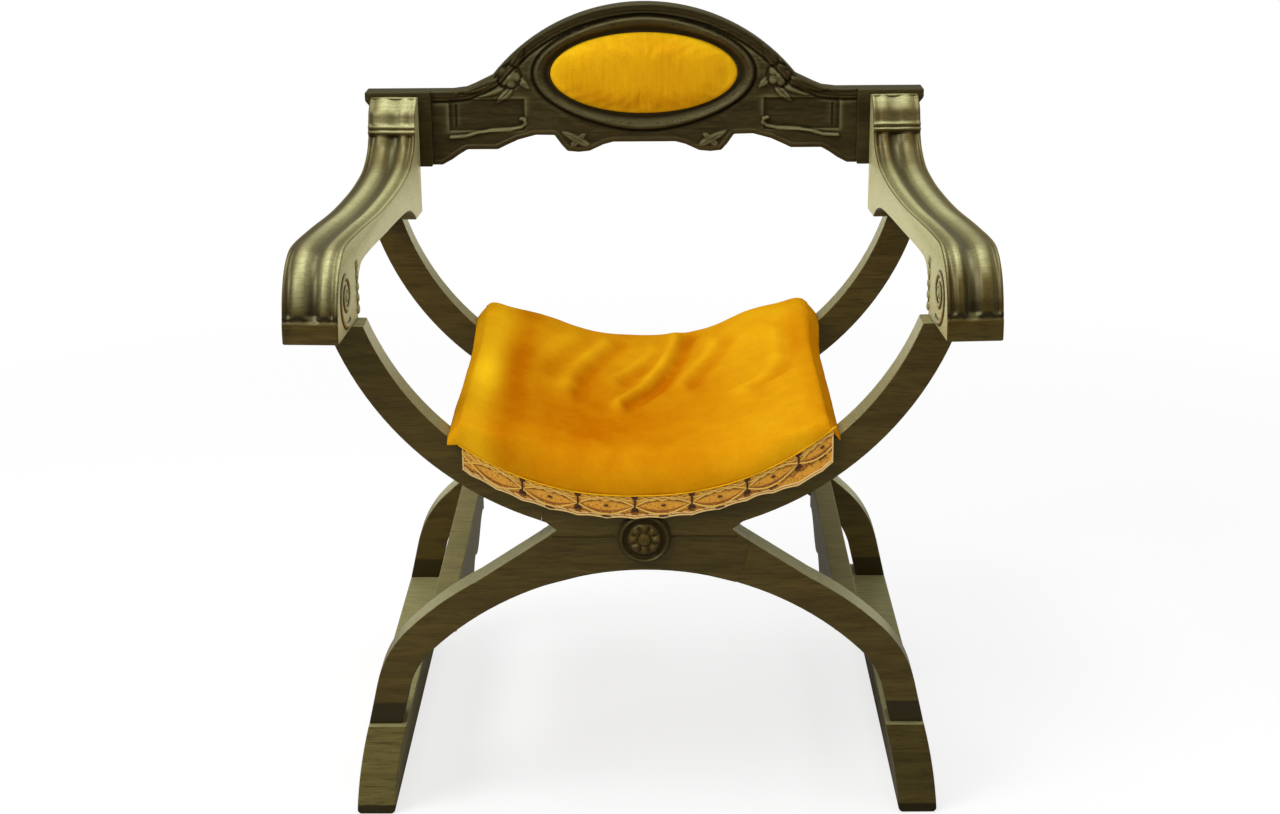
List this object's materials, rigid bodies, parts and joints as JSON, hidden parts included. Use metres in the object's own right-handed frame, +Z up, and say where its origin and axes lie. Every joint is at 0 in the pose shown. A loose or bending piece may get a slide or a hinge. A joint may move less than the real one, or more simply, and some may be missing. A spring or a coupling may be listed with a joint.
{
  "type": "savonarola chair",
  "caption": "Folding armchair with crossed S-shaped wooden staves, reeded scroll arms, sled runners, a carved lift-off back and a velvet sling seat.",
  "frame": {"origin": "on the floor, at the middle of the chair's plan", "axes": "+Z up, the chair faces -Y, +X is to the right seen from the front"},
  "size_m": [0.708, 0.542, 0.818],
  "materials": {
    "walnut": "dark stained, waxed, worn at edges",
    "dowel_wood": "bare",
    "board": "bare",
    "iron": "blackened",
    "velvet": "short pile mustard velvet",
    "lace": "braided galloon"
  },
  "bodies": {
    "fixed_half": {"front_stave_rising_left": "walnut", "rear_stave_rising_left": "walnut", "pivot_rod": "iron", "front_nut": "iron", "rear_nut": "iron", "front_rosette": "walnut", "rear_rosette": "walnut", "left_arm": "walnut", "left_arm_dowels": "dowel_wood", "left_seat_rail": "walnut", "left_rail_screws": "iron", "right_runner": "walnut", "right_runner_dowels": "dowel_wood", "right_stretcher": "walnut", "right_stretcher_dowels": "dowel_wood", "crest_studs": "iron", "seat_sling": "velvet", "lace_trim": "lace"},
    "folding_half": {"front_stave_rising_right": "walnut", "rear_stave_rising_right": "walnut", "right_arm": "walnut", "right_arm_dowels": "dowel_wood", "right_seat_rail": "walnut", "right_rail_screws": "iron", "left_runner": "walnut", "left_runner_dowels": "dowel_wood", "left_stretcher": "walnut", "left_stretcher_dowels": "dowel_wood"},
    "back": {"crest_rail": "walnut", "crest_moulding": "walnut", "pad_board": "board", "crest_pad": "velvet", "crest_flowers": "walnut"}
  },
  "joints": [
    {"name": "fold", "type": "hinge", "parent": "fixed_half", "child": "folding_half", "pos_m": [0, 0, 0.322], "axis": [0, -1, 0], "range_deg": [0, 58], "deforming": ["seat_sling", "lace_trim"]},
    {"name": "lift_back", "type": "slide", "parent": "fixed_half", "child": "back", "axis": [0, 0, 1], "range_m": [0, 0.2]}
  ]
}
